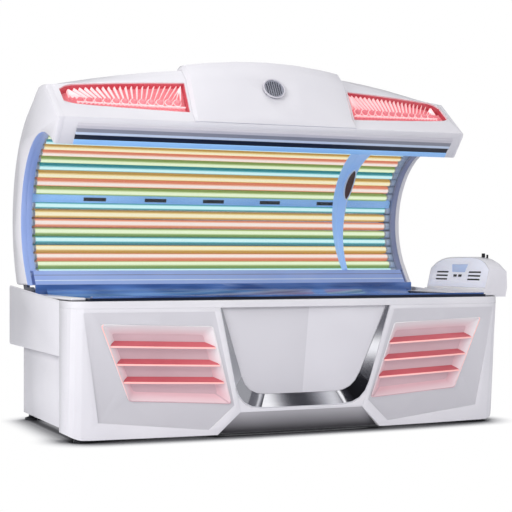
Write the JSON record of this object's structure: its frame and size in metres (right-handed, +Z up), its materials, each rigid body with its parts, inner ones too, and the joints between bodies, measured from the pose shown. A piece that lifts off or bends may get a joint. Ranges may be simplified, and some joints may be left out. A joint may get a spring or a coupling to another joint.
{
  "type": "clamshell tanning bed",
  "caption": "Salon tanning bed with a bowed louvred base, a curved acrylic bench and a hinged clamshell canopy of tubular lamps under a crowned hood with red lit lenses.",
  "frame": {"origin": "on the floor, under the middle of the overall outline with the canopy open", "axes": "+X runs along the bench to the head end with the console, +Y runs to the rear hinge side, +Z is up"},
  "size_m": [2.2902, 1.213, 1.6925],
  "materials": {
    "white": "glossy white moulded plastic",
    "panel": "satin pearl white moulded plastic",
    "silver": "silver painted plastic",
    "chrome": "polished chrome",
    "blue": "pale blue moulded plastic",
    "navy": "dark seal",
    "dark": "black plastic",
    "acrylic": "clear acrylic",
    "lamp": "coated lamp glass",
    "reflector": "bright reflector sheet",
    "red": "translucent red plastic, lit from behind",
    "lens": "clear red lens",
    "steel": "grey painted steel",
    "display": "blue display glass"
  },
  "bodies": {
    "base": {"top_deck": "white", "side_cover_left": "white", "side_cover_right": "white", "side_wing_left": "white", "side_wing_right": "white", "rear_cover": "white", "console_housing": "white", "front_panel_left": "panel", "front_panel_right": "panel", "front_centre_panel": "panel", "kick_plate": "panel", "console_face": "silver", "chrome_trim": "chrome", "bench_rim": "navy", "foot_front_left": "dark", "foot_front_right": "dark", "foot_rear_left": "dark", "foot_rear_right": "dark", "bench_acrylic": "acrylic", "bench_lamp_bank": "lamp", "bench_tray": "reflector", "louvre_grille_left": "red", "louvre_grille_right": "red", "hinge_bracket_left": "steel", "hinge_bracket_right": "steel", "hinge_pin_left": "steel", "hinge_pin_right": "steel", "base_frame": "steel", "console_display": "display"},
    "canopy": {"canopy_shell": "white", "canopy_hood": "white", "canopy_cap": "white", "speaker_grille": "silver", "canopy_end_left": "white", "canopy_end_right": "white", "tunnel_rim_left": "blue", "tunnel_rim_right": "blue", "lip_rail": "silver", "bottom_rail": "blue", "canopy_acrylic": "acrylic", "canopy_reflector": "reflector", "upper_lamp_bank": "lamp", "lower_lamp_bank": "lamp", "vent_strip": "blue", "divider_arch": "blue", "light_lens_left": "lens", "light_lens_right": "lens", "light_tray_left": "reflector", "light_tray_right": "reflector", "hinge_arm_left": "steel", "hinge_arm_right": "steel"},
    "spring_cylinder_left": {"spring_cylinder_left": "dark"},
    "spring_cylinder_right": {"spring_cylinder_right": "dark"},
    "spring_rod_left": {"spring_rod_left": "steel"},
    "spring_rod_right": {"spring_rod_right": "steel"},
    "console_button_1": {"console_button_1": "dark"},
    "console_button_2": {"console_button_2": "dark"},
    "console_fan_1": {"console_fan_1": "dark"},
    "console_fan_2": {"console_fan_2": "dark"},
    "console_lever": {"console_lever": "dark"}
  },
  "joints": [
    {"name": "canopy_hinge", "type": "hinge", "parent": "base", "child": "canopy", "pos_m": [0, 0.4155, 0.6], "axis": [1, 0, 0], "range_deg": [0, 40]},
    {"name": "spring_foot_left", "type": "hinge", "parent": "base", "child": "spring_cylinder_left", "pos_m": [-1.05565, 0.3655, 0.25], "axis": [1, 0, 0], "range_deg": [-0.5, 0.5]},
    {"name": "spring_stroke_left", "type": "slide", "parent": "spring_cylinder_left", "child": "spring_rod_left", "axis": [0, -0.0808, 0.9967], "range_m": [-0.0575, 0]},
    {"name": "spring_foot_right", "type": "hinge", "parent": "base", "child": "spring_cylinder_right", "pos_m": [0.84535, 0.3655, 0.25], "axis": [1, 0, 0], "range_deg": [-0.5, 0.5]},
    {"name": "spring_stroke_right", "type": "slide", "parent": "spring_cylinder_right", "child": "spring_rod_right", "axis": [0, -0.0808, 0.9967], "range_m": [-0.0575, 0]},
    {"name": "button_1_press", "type": "slide", "parent": "base", "child": "console_button_1", "axis": [1, 0, 0], "range_m": [0, 0.002], "stiffness_N_per_m": 350},
    {"name": "button_2_press", "type": "slide", "parent": "base", "child": "console_button_2", "axis": [1, 0, 0], "range_m": [0, 0.002], "stiffness_N_per_m": 350},
    {"name": "fan_1_spin", "type": "hinge", "parent": "base", "child": "console_fan_1", "pos_m": [0.99485, -0.2495, 0.686], "axis": [1, 0, 0], "continuous": true},
    {"name": "fan_2_spin", "type": "hinge", "parent": "base", "child": "console_fan_2", "pos_m": [0.99485, 0.0505, 0.686], "axis": [1, 0, 0], "continuous": true},
    {"name": "lever_tilt", "type": "hinge", "parent": "base", "child": "console_lever", "pos_m": [1.03215, -0.2295, 0.7811], "axis": [1, 0, 0], "range_deg": [-20, 20]}
  ],
  "couplings": [
    {"joint": "spring_foot_left", "follows": "canopy_hinge", "ratio": 0.008},
    {"joint": "spring_stroke_left", "follows": "canopy_hinge", "m_per_rad": -0.0808},
    {"joint": "spring_foot_right", "follows": "canopy_hinge", "ratio": 0.008},
    {"joint": "spring_stroke_right", "follows": "canopy_hinge", "m_per_rad": -0.0808}
  ]
}
